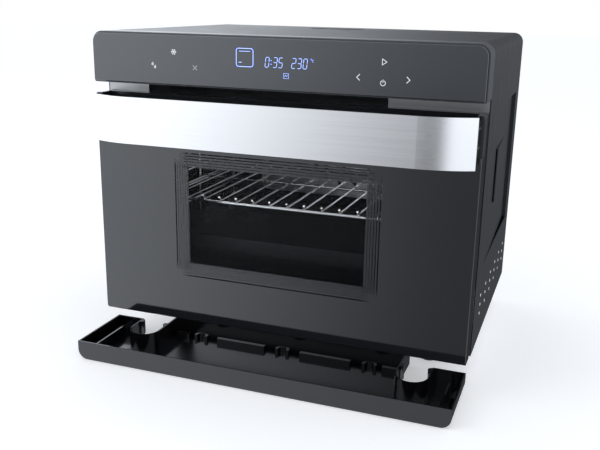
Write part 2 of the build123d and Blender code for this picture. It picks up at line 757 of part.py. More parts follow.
boiler_x = (boiler_x0 + boiler_x1) / 2
with BuildPart() as pressure_hose:
    with BuildLine():
        hose = FilletPolyline(
            (pump_x, pump_front - 1, pump_z), (pump_x, 112, pump_z), (boiler_x, 76, pump_z - 38),
            (boiler_x, nozzle_y, pump_z - 90), (boiler_x, nozzle_y, boiler_high + 2),
            radius=[14, 28, 40],
        )
    with BuildSketch(Plane(hose @ 0, z_dir=hose % 0)):
        Circle(4)
    sweep(path=hose)
    with BuildSketch(Plane(hose @ 0, z_dir=hose % 0)):
        Circle(2.4)
    extrude(amount=11, mode=Mode.SUBTRACT)
    with BuildSketch(Plane.XY.offset(boiler_high)):
        with Locations((boiler_x, nozzle_y)):
            Circle(2.4)
    extrude(amount=13, mode=Mode.SUBTRACT)
save(pressure_hose, "pressure_hose")

# ---- cooling blower: a drum rotor along X that blows out above the door
blower_y, blower_z, blower_r, shell = -28.0, shield_z + 37, 30.0, 1.5
drum_r, drum_x0, drum_x1 = 22.0, outlet_x0 + 6, outlet_x1 - 6
duct_front = liner_front
with BuildPart() as blower_housing:
    for inset, mode in ((0, Mode.ADD), (shell, Mode.SUBTRACT)):
        with BuildSketch(Plane.YZ.offset(outlet_x0 - shell + inset)):
            with Locations((blower_y, blower_z)):
                Circle(blower_r - inset)
            with BuildLine():
                Polyline(
                    (duct_front - inset, outlet_low - shell + inset),
                    (duct_front - inset, outlet_high + shell - inset),
                    (blower_y - 24, blower_z + 12 - inset),
                    (blower_y, blower_z),
                    (blower_y - 4, blower_z - blower_r + 1.2 + inset),
                    (duct_front + 40, outlet_low - shell + inset),
                    close=True,
                )
            make_face()
        extrude(amount=outlet_x1 - outlet_x0 + 2 * shell - 2 * inset, mode=mode)
    with BuildSketch(Plane.YZ.offset(outlet_x0 - 5)):
        with Locations((blower_y, blower_z)):
            Circle(2.5 + running_gap)
    extrude(amount=width, mode=Mode.SUBTRACT)
    with BuildSketch(Plane.XY.offset(blower_z)):
        with Locations(((outlet_x0 + outlet_x1) / 2, blower_y + 6)):
            Rectangle(outlet_x1 - outlet_x0 - 20, 26)
    extrude(amount=50, mode=Mode.SUBTRACT)
save(blower_housing, "blower_housing")

with BuildPart() as blower_rotor:
    for x in (drum_x0, (drum_x0 + drum_x1) / 2, drum_x1 - 1.5):
        with BuildSketch(Plane.YZ.offset(x)):
            with Locations((blower_y, blower_z)):
                Circle(drum_r)
        extrude(amount=1.5)
    with BuildSketch(Plane.YZ.offset(outlet_x0 - 3)):
        with Locations((blower_y, blower_z)):
            Circle(2.5)
    extrude(amount=outlet_x1 - outlet_x0 + 16)
    with BuildSketch(Plane.YZ.offset(drum_x0)):
        with Locations((blower_y, blower_z)):
            with PolarLocations(drum_r - 2.5, 20):
                Rectangle(4.6, 1)
    extrude(amount=drum_x1 - drum_x0)
save(blower_rotor, "blower_rotor")

motor_x = outlet_x1 + shell
with BuildPart() as blower_motor:
    with BuildSketch(Plane.YZ.offset(motor_x)):
        with Locations((blower_y, blower_z)):
            Circle(20)
    extrude(amount=34)
    fillet(blower_motor.edges().group_by(Axis.X)[-1], 3)
    with BuildSketch(Plane.YZ.offset(motor_x - 1)):
        with Locations((blower_y, blower_z)):
            Circle(2.5 + running_gap)
    extrude(amount=16, mode=Mode.SUBTRACT)
save(blower_motor, "blower_motor")

# ---- power board on pillars above the shield plate, and the ribbon to the touch board
board_z, board_x, board_y = shield_z + 9, -140.0, 72.0
with BuildPart() as power_board:
    with Locations((board_x, board_y, board_z)):
        Box(190, 106, board, align=(Align.CENTER, Align.CENTER, Align.MIN))
        with GridLocations(176, 92, 2, 2):
            Cylinder(3, board_z - shield_z - 1, align=(Align.CENTER, Align.CENTER, Align.MAX))
    with Locations((board_x, board_y, board_z + board)):
        with Locations((-60, -18, 0)):
            Box(44, 38, 34, align=(Align.CENTER, Align.CENTER, Align.MIN))
        with Locations((-8, 20, 0), (18, 20, 0)):
            Cylinder(10, 26, align=(Align.CENTER, Align.CENTER, Align.MIN))
        with Locations((50, 0, 0)):
            with GridLocations(0, 22, 1, 4):
                Box(28, 16, 15, align=(Align.CENTER, Align.CENTER, Align.MIN))
        with Locations((0, -38, 0)):
            Box(70, 8, 12, align=(Align.CENTER, Align.CENTER, Align.MIN))
save(power_board, "power_board")

ribbon_x, ribbon_w = -100.0, 22.0
with BuildPart() as ribbon_cable:
    with BuildLine():
        ribbon = FilletPolyline(
            (ribbon_x, front_y + housing_wall + board, display_z + 2),
            (ribbon_x, frame_y + 12, display_z + 2),
            (ribbon_x, blower_y - 44, top_z - 9),
            (ribbon_x, blower_y + 34, top_z - 9),
            (ribbon_x, blower_y + 52, board_z + board + 12),
            (ribbon_x, blower_y + 52, board_z + board),
            radius=[10, 14, 12, 14],
        )
    with BuildSketch(Plane(ribbon @ 0, x_dir=(1, 0, 0), z_dir=ribbon % 0)):
        Rectangle(ribbon_w, 1)
    sweep(path=ribbon)
save(ribbon_cable, "ribbon_cable")

# ---- door: frame, black cap with the finger recess, two panes
door_back = front_y + door_depth
pane = 4.0
window_half, window_low, window_high = 150.0, cavity_low + 6, base_z + 242
pocket_x0, pocket_x1 = 230.0, 246.0
back_wall, rim_wall = 1.5, 3.0


def rounded_heel():
    """What the door loses at its lower rear edge, so that it clears the frame as it turns."""
    with BuildPart() as heel:
        with BuildSketch(Plane.YZ.offset(-half)):
            with Locations(((hinge_y + door_back + 2) / 2, hinge_z - 8)):
                Rectangle(door_back + 2 - hinge_y, 16)
            with Locations((hinge_y, hinge_z)):
                Circle(door_back - hinge_y + 0.6, mode=Mode.SUBTRACT)
        extrude(amount=width)
    return heel.part


with BuildPart() as door_frame:
    with BuildSketch(at_y(door_back)):
        with Locations((0, (base_z + glass_top) / 2)):
            Rectangle(2 * door_half, glass_top - base_z)
    extrude(amount=door_depth - pane)
    with BuildSketch(at_y(door_back - back_wall)):
        with Locations((0, (base_z + glass_top) / 2)):
            Rectangle(2 * (door_half - rim_wall), glass_top - base_z - 2 * rim_wall)
        with Locations((0, (window_low + window_high) / 2)):
            Rectangle(2 * (window_half + 7 + rim_wall), window_high - window_low + 14 + 2 * rim_wall, mode=Mode.SUBTRACT)
        for side in (-1, 1):
            with Locations((side * (door_half - 16), base_z + 14)):
                Rectangle(32, 28, mode=Mode.SUBTRACT)
    extrude(amount=door_depth, mode=Mode.SUBTRACT)
    with BuildSketch(at_y(door_back - back_wall)):
        with Locations((0, (window_low + window_high) / 2)):
            Rectangle(2 * (window_half + 7), window_high - window_low + 14)
    extrude(amount=door_depth, mode=Mode.SUBTRACT)
    with BuildSketch(at_y(door_back)):
        with Locations((0, (window_low + window_high) / 2)):
            Rectangle(2 * window_half, window_high - window_low)
    extrude(amount=door_depth, mode=Mode.SUBTRACT)
    for side in (-1, 1):
        with BuildSketch(at_y(door_back)):
            with Locations((side * (pocket_x0 + pocket_x1) / 2, base_z + 12)):
                Rectangle(pocket_x1 - pocket_x0, 26)
        extrude(amount=door_depth - pane - 3, mode=Mode.SUBTRACT)
        with BuildSketch(Plane.YZ.offset(side * (half - 3))):
            with Locations((hinge_y, hinge_z)):
                Circle(hinge_pin_r + running_gap)
        extrude(amount=-side * 28, mode=Mode.SUBTRACT)
    add(rounded_heel(), mode=Mode.SUBTRACT)
save(door_frame, "door_frame")

with BuildPart() as door_inner_glass:
    with BuildSketch(at_y(door_back - back_wall)):
        with Locations((0, (window_low + window_high) / 2)):
            Rectangle(2 * window_half + 13.4, window_high - window_low + 13.4)
    extrude(amount=pane)
save(door_inner_glass, "door_inner_glass")

with BuildPart() as door_outer_glass:
    with BuildSketch(at_y(front_y + pane)):
        with Locations((0, (base_z + 2 + glass_top) / 2)):
            Rectangle(2 * door_half, glass_top - base_z - 2)
        fillet(vertices().group_by(Axis.Y)[0], 3)
    extrude(amount=pane)
    chamfer(door_outer_glass.edges().group_by(Axis.Y)[0], 0.6)
save(door_outer_glass, "door_outer_glass")

cheek, recess_depth = 8.5, 20.0
handle_low, handle_high = base_z + 247.2, base_z + 306.3
screw_rows = (glass_top + 12, glass_top + 34)
screw_x = door_half - 6.0
with BuildPart() as door_cap:
    with BuildSketch(at_y(door_back)):
        with Locations((0, (glass_top + door_top) / 2)):
            Rectangle(2 * door_half, door_top - glass_top)
        fillet(vertices().group_by(Axis.Y)[-1], 3)
    extrude(amount=door_depth)
    with BuildSketch(at_y(front_y + recess_depth)):
        with Locations((0, glass_top + 2 + body_height / 2)):
            Rectangle(2 * (door_half - cheek), body_height)
    extrude(amount=recess_depth, mode=Mode.SUBTRACT)
    with BuildSketch(at_y(door_back)):
        with Locations((0, sum(screw_rows) / 2)):
            with GridLocations(2 * screw_x, screw_rows[1] - screw_rows[0], 2, 2):
                Circle(3.4)
    extrude(amount=4, mode=Mode.SUBTRACT)
    with BuildSketch(at_y(door_back)):
        with Locations((0, sum(screw_rows) / 2)):
            with GridLocations(2 * screw_x, screw_rows[1] - screw_rows[0], 2, 2):
                Circle(1.8)
    extrude(amount=door_depth, mode=Mode.SUBTRACT)
save(door_cap, "door_cap")

# ---- handle: a bowed steel strip on two posts, screwed from behind through the cap's cheeks
strip, bow_flat, bow_drop = 2.5, 185.0, 17.0
bow_front = front_y - 38.0
bow_run = half - 5 - bow_flat
bow_r = (bow_run ** 2 + bow_drop ** 2) / (2 * bow_drop)
bow_angle = degrees(asin(bow_run / bow_r))


def bow_line(inset):
    """The strip's line from end to end, seen from above, at a depth inside its front face."""
    radius = bow_r - inset
    CenterArc((-bow_flat, bow_front + bow_r), radius, 270 - bow_angle, bow_angle)
    Line((-bow_flat, bow_front + inset), (bow_flat, bow_front + inset))
    CenterArc((bow_flat, bow_front + bow_r), radius, 270, bow_angle)


def bow_end(inset):
    """Where that line ends on the right."""
    angle = radians(bow_angle)
    radius = bow_r - inset
    return bow_flat + radius * sin(angle), bow_front + bow_r - radius * cos(angle)


with BuildPart() as handle_strip:
    with BuildSketch(Plane.XY.offset(handle_low)):
        with BuildLine():
            bow_line(0)
            bow_line(strip)
            for side in (-1, 1):
                Line(*[(side * bow_end(depth_in)[0], bow_end(depth_in)[1]) for depth_in in (0, strip)])
        make_face()
    extrude(amount=handle_high - handle_low)
    fillet(handle_strip.edges().filter_by(Axis.Z), 0.8)
save(handle_strip, "handle_strip")

post_x0, post_x1, post_low, post_high = door_half - 9, door_half - 3.2, glass_top + 2, door_top - 5
with BuildPart() as handle_posts:
    with BuildSketch(Plane.XY.offset(post_low)):
        for side in (-1, 1):
            with Locations((side * (post_x0 + post_x1) / 2, (front_y + bow_front) / 2)):
                Rectangle(post_x1 - post_x0, front_y - bow_front)
        with BuildLine():
            bow_line(strip)
            end_x, end_y = bow_end(strip)
            Polyline((end_x, end_y), (end_x, front_y), (-end_x, front_y), (-end_x, end_y))
        make_face(mode=Mode.INTERSECT)
    extrude(amount=post_high - post_low)
    with BuildSketch(at_y(front_y)):
        with Locations((0, sum(screw_rows) / 2)):
            with GridLocations(2 * screw_x, screw_rows[1] - screw_rows[0], 2, 2):
                Circle(1.8)
    extrude(amount=8, mode=Mode.SUBTRACT)
save(handle_posts, "handle_posts")

handle_screws = screw_group(
    [(side * screw_x, z) for side in (-1, 1) for z in screw_rows],
    lambda p: Plane((p[0], door_back - 4, p[1]), z_dir=(0, 1, 0)), 3.2, 2.2, 1.8, door_depth - 4 + 7,
)
save(handle_screws, "handle_screws")

# ---- hinges: pins on brackets of the frame, and curved check arms that ride into the casing
bracket_x, bracket = pocket_x0 + 8, 4.0
with BuildPart() as hinge_pins:
    for side in (-1, 1):
        with BuildSketch(Plane.YZ.offset(side * (pocket_x0 - 4))):
            with Locations((hinge_y, hinge_z)):
                Circle(hinge_pin_r)
        extrude(amount=side * 25)
save(hinge_pins, "hinge_pins")

with BuildPart() as hinge_brackets:
    for side in (-1, 1):
        with BuildSketch(Plane.YZ.offset(side * bracket_x - bracket / 2)):
            with Locations((hinge_y, hinge_z)):
                Circle(7)
            with Locations(((hinge_y + frame_y) / 2, hinge_z)):
                Rectangle(frame_y - hinge_y, 10)
            with Locations((hinge_y, hinge_z)):
                Circle(hinge_pin_r, mode=Mode.SUBTRACT)
        extrude(amount=bracket)
        with BuildSketch(at_y(frame_y)):
            with Locations((side * bracket_x, hinge_z + 4)):
                Rectangle(16, 22)
        extrude(amount=1.4)
save(hinge_brackets, "hinge_brackets")

with BuildPart() as check_arms:
    for side in (-1, 1):
        with BuildSketch(Plane.YZ.offset(side * arm_x - arm_plate / 2)):
            with BuildLine():
                for radius in (arm_mean_r - arm_width / 2, arm_mean_r + arm_width / 2):
                    CenterArc((hinge_y, hinge_z), radius, -2, 92)
                for angle in (-2, 90):
                    ends = [arm_mean_r - arm_width / 2, arm_mean_r + arm_width / 2]
                    Line(*[(hinge_y + r * cos(radians(angle)), hinge_z + r * sin(radians(angle))) for r in ends])
            make_face()
            with Locations((door_back - 30, hinge_z + arm_mean_r)):
                Rectangle(60, 40, mode=Mode.SUBTRACT)
        extrude(amount=arm_plate)
        with BuildSketch(at_y(door_back + 1.4)):
            with Locations((side * arm_x, slot_z)):
                RectangleRounded(12, 26, 2)
        extrude(amount=1.4)
save(check_arms, "check_arms")

# ---- door switch with its plunger
plunger_r, plunger_gap = 2.5, 0.5
with BuildPart() as door_switch:
    with Locations((switch_x, frame_y + sheet + 11, switch_z)):
        Box(20, 22, 20)
    fillet(door_switch.edges().filter_by(Axis.Y), 2)
    with BuildSketch(at_y(frame_y + sheet + 16)):
        with Locations((switch_x, switch_z)):
            Circle(plunger_r + running_gap)
    extrude(amount=20, mode=Mode.SUBTRACT)
save(door_switch, "door_switch")

with BuildPart() as switch_plunger:
    with BuildSketch(at_y(frame_y + sheet + 12)):
        with Locations((switch_x, switch_z)):
            Circle(plunger_r)
    extrude(amount=frame_y + sheet + 12 - door_back - plunger_gap)
    fillet(switch_plunger.edges().group_by(Axis.Y)[0], 1.2)
save(switch_plunger, "switch_plunger")

# ---- condensate tray with notches that take the front feet
tray_half = half - 3.0
tray_front = front_y - tray_out
wing_rear, tray_rear, wing_x = tray_front + 101, tray_front + 152, 170.0
notch_r, notch_y = 20.0, tray_front + 71
tray_wall, tray_floor, toe_r = 2.0, 2.2, 13.0


def tray_outline(inset):
    """The tray seen from above, shrunk by an inset; used inside a sketch."""
    with Locations((0, (tray_front + wing_rear) / 2)):
        Rectangle(2 * (tray_half - inset), wing_rear - tray_front - 2 * inset)
    with Locations((0, (tray_front + tray_rear) / 2)):
        Rectangle(2 * (wing_x - inset), tray_rear - tray_front - 2 * inset)
    for side in (-1, 1):
        with Locations((side * foot_x, notch_y)):
            Circle(notch_r + inset, mode=Mode.SUBTRACT)
        with Locations((side * foot_x, (notch_y + tray_rear) / 2)):
            Rectangle(2 * (notch_r + inset), tray_rear - notch_y, mode=Mode.SUBTRACT)


def tray_block(inset, low, high):
    """The tray's form between two heights, with its rounded lower ends."""
    with BuildPart() as block:
        with BuildSketch(Plane.XY.offset(low)):
            tray_outline(inset)
        extrude(amount=high - low)
        with BuildSketch(at_y(tray_rear + 1)):
            with Locations((0, low + 50)):
                Rectangle(2 * (tray_half - inset), 100)
            fillet(vertices().group_by(Axis.Y)[0], toe_r - inset)
        extrude(amount=tray_rear - tray_front + 2, mode=Mode.INTERSECT)
    return block.part


rib_y = tray_front + 112
with BuildPart() as condensate_tray:
    add(tray_block(0, tray_low, tray_low + tray_height))
    add(tray_block(tray_wall, tray_low + tray_floor, tray_low + tray_height + 1), mode=Mode.SUBTRACT)
    with Locations((0, rib_y, tray_low + tray_floor)):
        with GridLocations(124, 0, 2, 1):
            Box(72, 6, 7, align=(Align.CENTER, Align.CENTER, Align.MIN))
        with Locations((-152, 0, 0), (152, 0, 0)):
            Box(20, 6, 7, align=(Align.CENTER, Align.CENTER, Align.MIN))
    with BuildSketch(Plane.XY.offset(tray_low + tray_floor)):
        with Locations((0, rib_y)):
            with GridLocations(124, 0, 3, 1):
                Circle(10)
                Circle(6, mode=Mode.SUBTRACT)
        with Locations((0, rib_y - 12)):
            Rectangle(2 * half, 20, mode=Mode.SUBTRACT)
    extrude(amount=7)
    for side in (-1, 1):
        with Locations((side * (tray_half - 17), (tray_front + wing_rear) / 2, tray_low + tray_floor)):
            Box(2.4, wing_rear - tray_front - 30, 14, align=(Align.CENTER, Align.CENTER, Align.MIN))
        with BuildSketch(Plane.XY.offset(tray_low)):
            with Locations((side * foot_x, notch_y)):
                Circle(notch_r)
                Circle(notch_r - 3, mode=Mode.SUBTRACT)
            with Locations((side * foot_x, notch_y + notch_r)):
                Rectangle(2 * notch_r, 2 * notch_r, mode=Mode.SUBTRACT)
        extrude(amount=3)
        for flank in (-1, 1):
            with BuildSketch(Plane.XY.offset(tray_low + 6)):
                with Locations((side * foot_x + flank * notch_r, wing_rear - 7)):
                    Circle(5)
                with Locations((side * foot_x + flank * (notch_r + 6), wing_rear - 7)):
                    Rectangle(10, 14, mode=Mode.SUBTRACT)
            extrude(amount=tray_height - 6)
save(condensate_tray, "condensate_tray")
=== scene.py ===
"""Looks of a countertop combi steam oven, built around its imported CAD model, in metres."""
from math import atan2, cos, hypot, radians, sin

import bmesh
import bpy
from mathutils import Matrix, Vector


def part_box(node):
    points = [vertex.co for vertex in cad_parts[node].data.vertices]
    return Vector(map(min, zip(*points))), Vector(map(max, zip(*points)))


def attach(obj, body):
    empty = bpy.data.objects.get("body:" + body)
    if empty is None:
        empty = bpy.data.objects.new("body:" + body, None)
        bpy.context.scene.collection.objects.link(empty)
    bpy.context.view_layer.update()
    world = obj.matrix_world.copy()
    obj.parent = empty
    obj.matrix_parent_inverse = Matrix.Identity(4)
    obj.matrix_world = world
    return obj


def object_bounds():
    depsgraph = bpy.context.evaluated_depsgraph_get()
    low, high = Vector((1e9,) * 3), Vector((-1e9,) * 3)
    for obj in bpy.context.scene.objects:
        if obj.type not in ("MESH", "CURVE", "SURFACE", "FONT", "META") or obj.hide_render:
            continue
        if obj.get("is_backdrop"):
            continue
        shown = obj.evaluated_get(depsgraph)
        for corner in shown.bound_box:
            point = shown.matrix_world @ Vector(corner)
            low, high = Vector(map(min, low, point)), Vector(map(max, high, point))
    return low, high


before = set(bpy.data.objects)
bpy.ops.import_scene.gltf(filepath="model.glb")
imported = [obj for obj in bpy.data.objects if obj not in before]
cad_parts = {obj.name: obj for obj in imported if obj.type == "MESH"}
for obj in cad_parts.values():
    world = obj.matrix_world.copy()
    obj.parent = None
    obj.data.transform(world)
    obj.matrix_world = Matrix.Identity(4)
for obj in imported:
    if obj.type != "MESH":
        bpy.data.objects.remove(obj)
cad_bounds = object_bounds()

# ---- Camera. A product shot from the front right, a little above the oven, with a lens a bit longer than
# normal. It is slightly rolled, as such a hand-set shot is, so the axes are built from its three turns.
yaw, pitch, roll = 0.3473, 0.2767, 0.0178
eye = Vector((0.3612, -1.0515, 0.4723))
ahead = Vector((-sin(yaw) * cos(pitch), cos(yaw) * cos(pitch), -sin(pitch)))
level = Vector((cos(yaw), sin(yaw), 0))
upright = level.cross(ahead)
right_axis = level * cos(roll) + upright * sin(roll)
up_axis = upright * cos(roll) - level * sin(roll)
camera = bpy.data.objects.new("camera", bpy.data.cameras.new("camera"))
camera.data.sensor_width = 36
camera.data.lens = 47.46
camera.data.clip_start = 0.02
camera.matrix_world = Matrix((
    (right_axis.x, up_axis.x, -ahead.x, eye.x),
    (right_axis.y, up_axis.y, -ahead.y, eye.y),
    (right_axis.z, up_axis.z, -ahead.z, eye.z),
    (0, 0, 0, 1),
))
bpy.context.scene.collection.objects.link(camera)
bpy.context.scene.camera = camera
bpy.context.scene.view_settings.view_transform = "Standard"


# ---- Powder-coated casing. A folded sheet over sides and top, charcoal, semi-gloss, with a faint orange
# peel. This first finish also defines how shader arithmetic and nodes are written in the rest of the
# file.
class Wire:
    """One shader socket; plain arithmetic on it adds the Math nodes."""

    def __init__(self, finish, socket):
        self.finish, self.socket = finish, socket

    def maths(self, operation, *values):
        return self.finish.node("ShaderNodeMath", {"operation": operation}, dict(enumerate(values)))

    def __add__(self, other):
        return self.maths("ADD", self, other)

    def __sub__(self, other):
        return self.maths("SUBTRACT", self, other)

    def __rsub__(self, other):
        return self.maths("SUBTRACT", other, self)

    def __mul__(self, other):
        return self.maths("MULTIPLY", self, other)

    def __truediv__(self, other):
        return self.maths("DIVIDE", self, other)

    def __abs__(self):
        return self.maths("ABSOLUTE", self)

    def __lt__(self, other):
        return self.maths("LESS_THAN", self, other)

    def __gt__(self, other):
        return self.maths("GREATER_THAN", self, other)

    def __getitem__(self, name):
        return Wire(self.finish, self.socket.node.outputs[name])

    __radd__, __rmul__ = __add__, __mul__


class Finish:
    """A surface material made of a shader and the nodes that vary it."""

    def __init__(self, name, colour, roughness, **sockets):
        self.material = bpy.data.materials.new(name)
        self.material.use_nodes = True
        self.tree = self.material.node_tree
        self.shader = self.tree.nodes["Principled BSDF"]
        self.vary(Base_Color=colour, Roughness=roughness, **sockets)

    def feed(self, node, values):
        """Sets each named input of a node, or wires a socket to it."""
        for key, value in values.items():
            if isinstance(value, Wire):
                self.tree.links.new(value.socket, node.inputs[key])
            elif isinstance(value, tuple) and node.inputs[key].type == "RGBA":
                node.inputs[key].default_value = (*value[:3], 1)
            else:
                node.inputs[key].default_value = value

    def node(self, kind, settings, values):
        """Adds a node and gives its first output."""
        made = self.tree.nodes.new(kind)
        for key, value in settings.items():
            setattr(made, key, value)
        self.feed(made, values)
        return Wire(self, made.outputs[0])

    def place(self, scale=(1, 1, 1)):
        """Where a point is on its own piece, with each axis scaled."""
        where = self.node("ShaderNodeTexCoord", {}, {})["Object"]
        return self.node("ShaderNodeMapping", {}, {"Vector": where, "Scale": scale})

    def axes(self):
        return self.node("ShaderNodeSeparateXYZ", {}, {"Vector": self.place()})

    def speckle(self, scale, detail=3.0, stretch=(1, 1, 1)):
        """Soft noise from nothing to one."""
        values = {"Vector": self.place(stretch), "Scale": scale, "Detail": detail}
        return self.node("ShaderNodeTexNoise", {}, values)

    def tint(self, mask, first, second):
        """The first colour where the mask is nothing, the second where it is one."""
        mix = self.node("ShaderNodeMix", {"data_type": "RGBA"}, {0: mask, 6: first, 7: second})
        return Wire(self, mix.socket.node.outputs[2])

    def between(self, value):
        """A value held from nothing to one."""
        return self.node("ShaderNodeClamp", {}, {"Value": value})

    def emboss(self, height, depth, strength=1.0):
        """Raises the surface by a height, as deep as depth in metres."""
        bump = self.node("ShaderNodeBump", {}, {"Height": height, "Distance": depth, "Strength": strength})
        self.feed(self.shader, {"Normal": bump})
        return self

    def vary(self, **sockets):
        """Sets or wires the shader's own inputs, named with underscores for spaces."""
        self.feed(self.shader, {key.replace("_", " "): value for key, value in sockets.items()})

    def dress(self, *nodes):
        """Puts this finish on whole pieces of the CAD model."""
        for name in nodes:
            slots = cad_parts[name].data.materials
            for index in range(max(1, len(slots))):
                if index < len(slots):
                    slots[index] = self.material
                else:
                    slots.append(self.material)


def shaded(colour, part):
    """A colour with every channel scaled, at most full."""
    return tuple(min(1, channel * part) for channel in colour)


def clouded(coat, colour):
    """A coat's own tone, drifting between a little darker and a little lighter."""
    return coat.tint(coat.speckle(9, 4), shaded(colour, 0.86), shaded(colour, 1.16))


def coated(name, colour, roughness):
    """Baked paint or powder coat: cloudy in tone and gloss, with a fine orange peel."""
    coat = Finish(name, colour, roughness, Specular_IOR_Level=0.3)
    coat.vary(Base_Color=clouded(coat, colour), Roughness=coat.speckle(40, 3) * 0.12 + (roughness - 0.06))
    return coat.emboss(coat.speckle(900, 2), 0.00006)


charcoal = (0.015, 0.0172, 0.0205)
coated("charcoal_enamel", charcoal, 0.34).dress("rear_panel")

# ---- Side vents. Eighteen punched holes a side in the charcoal sheet. A ring round each hole is painted near-white
# and made to glow, painted light for the brightness seen through the holes; a lining behind them glows as
# painted light too.
vented = coated("vented_enamel", charcoal, 0.34)
spot = vented.axes()
lining_low, lining_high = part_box("vent_lining")
vent_centre = (lining_low + lining_high) / 2
columns, rows = 6, 3
column_pitch, row_pitch = 0.0496, 0.0125
hole_r, glow_margin = 0.002, 0.0002
along = (spot["Y"] - vent_centre.y) / column_pitch + columns / 2
upward = (spot["Z"] - vent_centre.z) / row_pitch + rows / 2
off_y = (along.maths("FRACT", along) - 0.5) * column_pitch
off_z = (upward.maths("FRACT", upward) - 0.5) * row_pitch
near_hole = (off_y * off_y + off_z * off_z) < (hole_r + glow_margin) ** 2
in_field = (along > 0) * (along < columns) * (upward > 0) * (upward < rows)
glowing_hole = near_hole * in_field
# Painted glow: each hole's ring gets a near-white colour and an emission, standing in for light seen through
# the holes.
vented.vary(
    Base_Color=vented.tint(glowing_hole, clouded(vented, charcoal), (0.9, 0.92, 0.95)),
    Emission_Color=vented.tint(glowing_hole, (0.0, 0.0, 0.0), (0.75, 0.8, 0.85)),
)
vented.feed(vented.shader, {"Emission Strength": 0.6})
vented.dress("casing_wrap")
# The lining glows though it is no lamp: painted light behind the vent holes.
lining = Finish("light_lining", (0.85, 0.85, 0.85), 0.6, Emission_Strength=0.4)
lining.vary(Emission_Color=lining.tint(lining.speckle(30, 2), (0.75, 0.77, 0.8), (1.0, 1.0, 1.0)))
lining.dress("vent_lining")


# ---- Control housing. A satin moulding that carries the glass; finely spark-eroded, so it scatters light
# a little.
def moulded(name, colour, roughness, grain=0.00004, grain_scale=2600):
    """Injection-moulded plastic: fine eroded grain, slow drift in gloss."""
    plastic = Finish(name, colour, roughness)
    drift = plastic.speckle(14, 3)
    plastic.vary(Roughness=drift * 0.14 + (roughness - 0.07))
    plastic.vary(Base_Color=plastic.tint(drift, shaded(colour, 0.9), shaded(colour, 1.1)))
    return plastic.emboss(plastic.speckle(grain_scale, 2), grain)


moulded("housing_plastic", (0.05, 0.055, 0.062), 0.28).dress("control_housing")

# ---- Control glass. A back-printed pane, graphite, with polished edges; faint wipe marks show only in
# its gloss.
panel_glass = Finish("control_glass", (0.024, 0.0275, 0.033), 0.09, Coat_Weight=0.5, Coat_Roughness=0.04)
panel_glass.vary(Roughness=panel_glass.speckle(6, 5, (1, 1, 4)) * 0.08 + 0.05)
print_dots = panel_glass.speckle(1200, 1)
panel_glass.vary(Base_Color=panel_glass.tint(print_dots, (0.0225, 0.026, 0.031), (0.026, 0.0295, 0.0355)))
panel_glass.dress("control_glass")

# ---- Touch symbols and display. White symbols are printed under the glass and lit from behind; the
# display's figures are leaning seven-segment bars in cold blue-white. Each is a flat raised film on the
# glass.
MM = 0.001
glass_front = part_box("control_glass")[0][1]


class Film:
    """A thin raised print on the control glass, drawn with straight strokes and rings in millimetres."""

    def __init__(self, proud=0.00008):
        self.mesh = bmesh.new()
        self.proud = proud
        self.strokes = []

    def stroke(self, start, end, wide=0.7):
        self.strokes.append((start, end, wide))
        run, rise = end[0] - start[0], end[1] - start[1]
        long = hypot(run, rise) + wide * 0.6
        middle_x, middle_z = (start[0] + end[0]) / 2, (start[1] + end[1]) / 2
        place = Matrix.Translation((middle_x * MM, glass_front - self.proud, middle_z * MM))
        turn = Matrix.Rotation(-atan2(rise, run), 4, "Y")
        size = Matrix.Diagonal((long * MM, 2 * self.proud, wide * MM, 1))
        bmesh.ops.create_cube(self.mesh, size=1, matrix=place @ turn @ size)

    def path(self, points, wide=0.7, closed=False):
        ring = points + points[:1] if closed else points
        for start, end in zip(ring, ring[1:]):
            self.stroke(start, end, wide)

    def arc(self, centre, radius, first, last, wide=0.7, steps=14):
        turns = [radians(first + (last - first) * k / steps) for k in range(steps + 1)]
        self.path([(centre[0] + radius * cos(a), centre[1] + radius * sin(a)) for a in turns], wide)

    def finish(self, name, material):
        data = bpy.data.meshes.new(name)
        self.mesh.to_mesh(data)
        self.mesh.free()
        data.materials.append(material)
        film = bpy.data.objects.new(name, data)
        bpy.context.scene.collection.objects.link(film)
        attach(film, "oven")


SEGMENTS = {"0": "abcdef", "2": "abged", "3": "abgcd", "5": "afgcd"}
digit_wide, digit_tall, lean = 4.6, 11.6, 0.12
end_gap, side_gap = 0.14, 0.07


def figure(film, digit, x, z):
    """One leaning seven-segment figure whose lower left corner is at x, z."""
    def at(u, v):
        return x + u * digit_wide + v * digit_tall * lean, z + v * digit_tall

    flat, upper, lower = (end_gap, 1 - end_gap), (0.5 + side_gap, 1 - side_gap), (side_gap, 0.5 - side_gap)
    ends = {segment: ((flat[0], v), (flat[1], v)) for segment, v in (("a", 1), ("g", 0.5), ("d", 0))}
    for segment, u, (bottom, top) in (("b", 1, upper), ("c", 1, lower), ("e", 0, lower), ("f", 0, upper)):
        ends[segment] = (u, bottom), (u, top)
    for segment in SEGMENTS[digit]:
        start, end = ends[segment]
        film.stroke(at(*start), at(*end), 0.85)


figure_z = 394.4
display = Film()
for digit, x in zip("035", (-10.8, -0.4, 6.6)):
    figure(display, digit, x, figure_z)
for z in (398.0, 402.4):
    display.arc((-2.6, z), 0.35, 0, 360, 0.7, 6)
for digit, x in zip("230", (23.4, 30.6, 37.8)):
    figure(display, digit, x, figure_z)
display.arc((48.2, 405.6), 0.7, 0, 360, 0.4, 8)
display.arc((50.6, 403.8), 1.3, 60, 300, 0.45, 8)
left, right, low, high, corner = -48.4, -26.2, 393.8, 415.4, 3.0
for z in (low, high):
    display.stroke((left + corner, z), (right - corner, z), 1.0)
for x in (left, right):
    display.stroke((x, low + corner), (x, high - corner), 1.0)
for centre, first in (((right - corner, high - corner), 0), ((left + corner, high - corner), 90),
                      ((left + corner, low + corner), 180), ((right - corner, low + corner), 270)):
    display.arc(centre, corner, first, first + 90, 1.0, 5)
display.stroke((left + 4, high - 3.4), (right - 4, high - 3.4), 0.8)
display.stroke((left + 3.4, low + 5.0), (left + 7.0, low + 5.0), 0.9)
